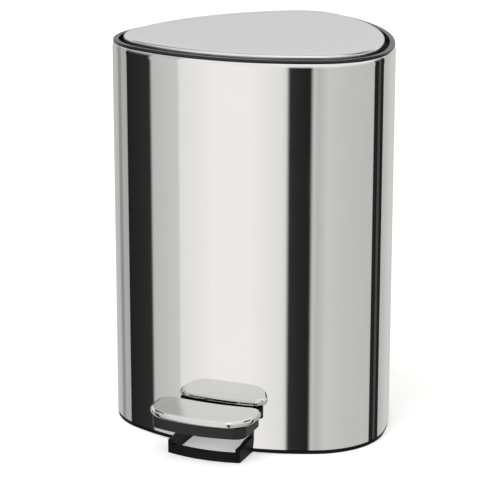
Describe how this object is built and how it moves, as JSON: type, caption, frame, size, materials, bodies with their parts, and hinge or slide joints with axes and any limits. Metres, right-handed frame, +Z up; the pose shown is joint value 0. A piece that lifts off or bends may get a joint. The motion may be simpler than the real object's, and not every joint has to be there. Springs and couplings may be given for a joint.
{
  "type": "pedal trash can",
  "caption": "Small pedal-operated bin: three-sided polished steel body, lift-out inner bucket, satin lid opened by a foot pedal through a lever and push rod.",
  "frame": {"origin": "within 1 mm of the centre of the whole bin's plan box, pedal included, on the floor", "axes": "+Z up, pedal and front face towards -Y, lid hinge at +Y, left-right symmetry plane x = 0"},
  "size_m": [0.204, 0.2432, 0.284],
  "materials": {
    "polished_steel": "mirror-polished stainless sheet",
    "satin_steel": "fine satin stainless sheet",
    "bright_steel": "bright pressed steel",
    "zinc_steel": "zinc-plated steel",
    "black_plastic": "fine-grained moulded plastic",
    "grey_plastic": "plain moulded plastic",
    "bucket_plastic": "smooth moulded plastic",
    "black_rubber": "matte rubber"
  },
  "bodies": {
    "housing": {"body_shell": "polished_steel", "top_rim": "black_plastic", "lid_bumpers": "black_rubber", "base_tray": "black_plastic", "rubber_feet": "black_rubber", "pedal_guard": "black_plastic", "guard_screws": "zinc_steel", "lever_bracket": "zinc_steel", "bracket_rivets": "zinc_steel", "pivot_pin": "zinc_steel", "pivot_clip": "zinc_steel", "rod_channel": "grey_plastic", "rod_guides": "grey_plastic", "hinge_bracket": "zinc_steel", "hinge_pin": "zinc_steel", "hinge_clips": "zinc_steel", "damper_cylinder": "grey_plastic", "damper_clips": "grey_plastic"},
    "bucket": {"inner_bucket": "bucket_plastic"},
    "lid": {"lid_skin": "satin_steel", "lid_liner": "black_plastic", "lid_hinge_arm": "zinc_steel", "lid_screws": "zinc_steel", "crank_pin": "zinc_steel"},
    "rod": {"push_rod": "zinc_steel", "rod_head": "grey_plastic", "rod_foot": "grey_plastic", "damper_plunger": "zinc_steel"},
    "pedal": {"pedal_lever": "zinc_steel", "lever_bushes": "grey_plastic", "lever_tip": "grey_plastic", "pedal_body": "black_plastic", "pedal_plate": "bright_steel", "pedal_screws": "zinc_steel"}
  },
  "joints": [
    {"name": "lid_hinge", "type": "hinge", "parent": "housing", "child": "lid", "pos_m": [0, 0.1012, 0.279], "axis": [-1, 0, 0], "range_deg": [0, 80]},
    {"name": "pedal_hinge", "type": "hinge", "parent": "housing", "child": "pedal", "pos_m": [0, -0.019, 0.014], "axis": [1, 0, 0], "range_deg": [0, 7.49]},
    {"name": "rod_slide", "type": "slide", "parent": "housing", "child": "rod", "axis": [0, 0, 1], "range_m": [0, 0.01454]},
    {"name": "bucket_lift", "type": "slide", "parent": "housing", "child": "bucket", "axis": [0, 0, 1], "range_m": [0, 0.0025]}
  ],
  "couplings": [
    {"joint": "pedal_hinge", "follows": "lid_hinge", "ratio": 0.09354},
    {"joint": "rod_slide", "follows": "lid_hinge", "m_per_rad": 0.010404}
  ]
}
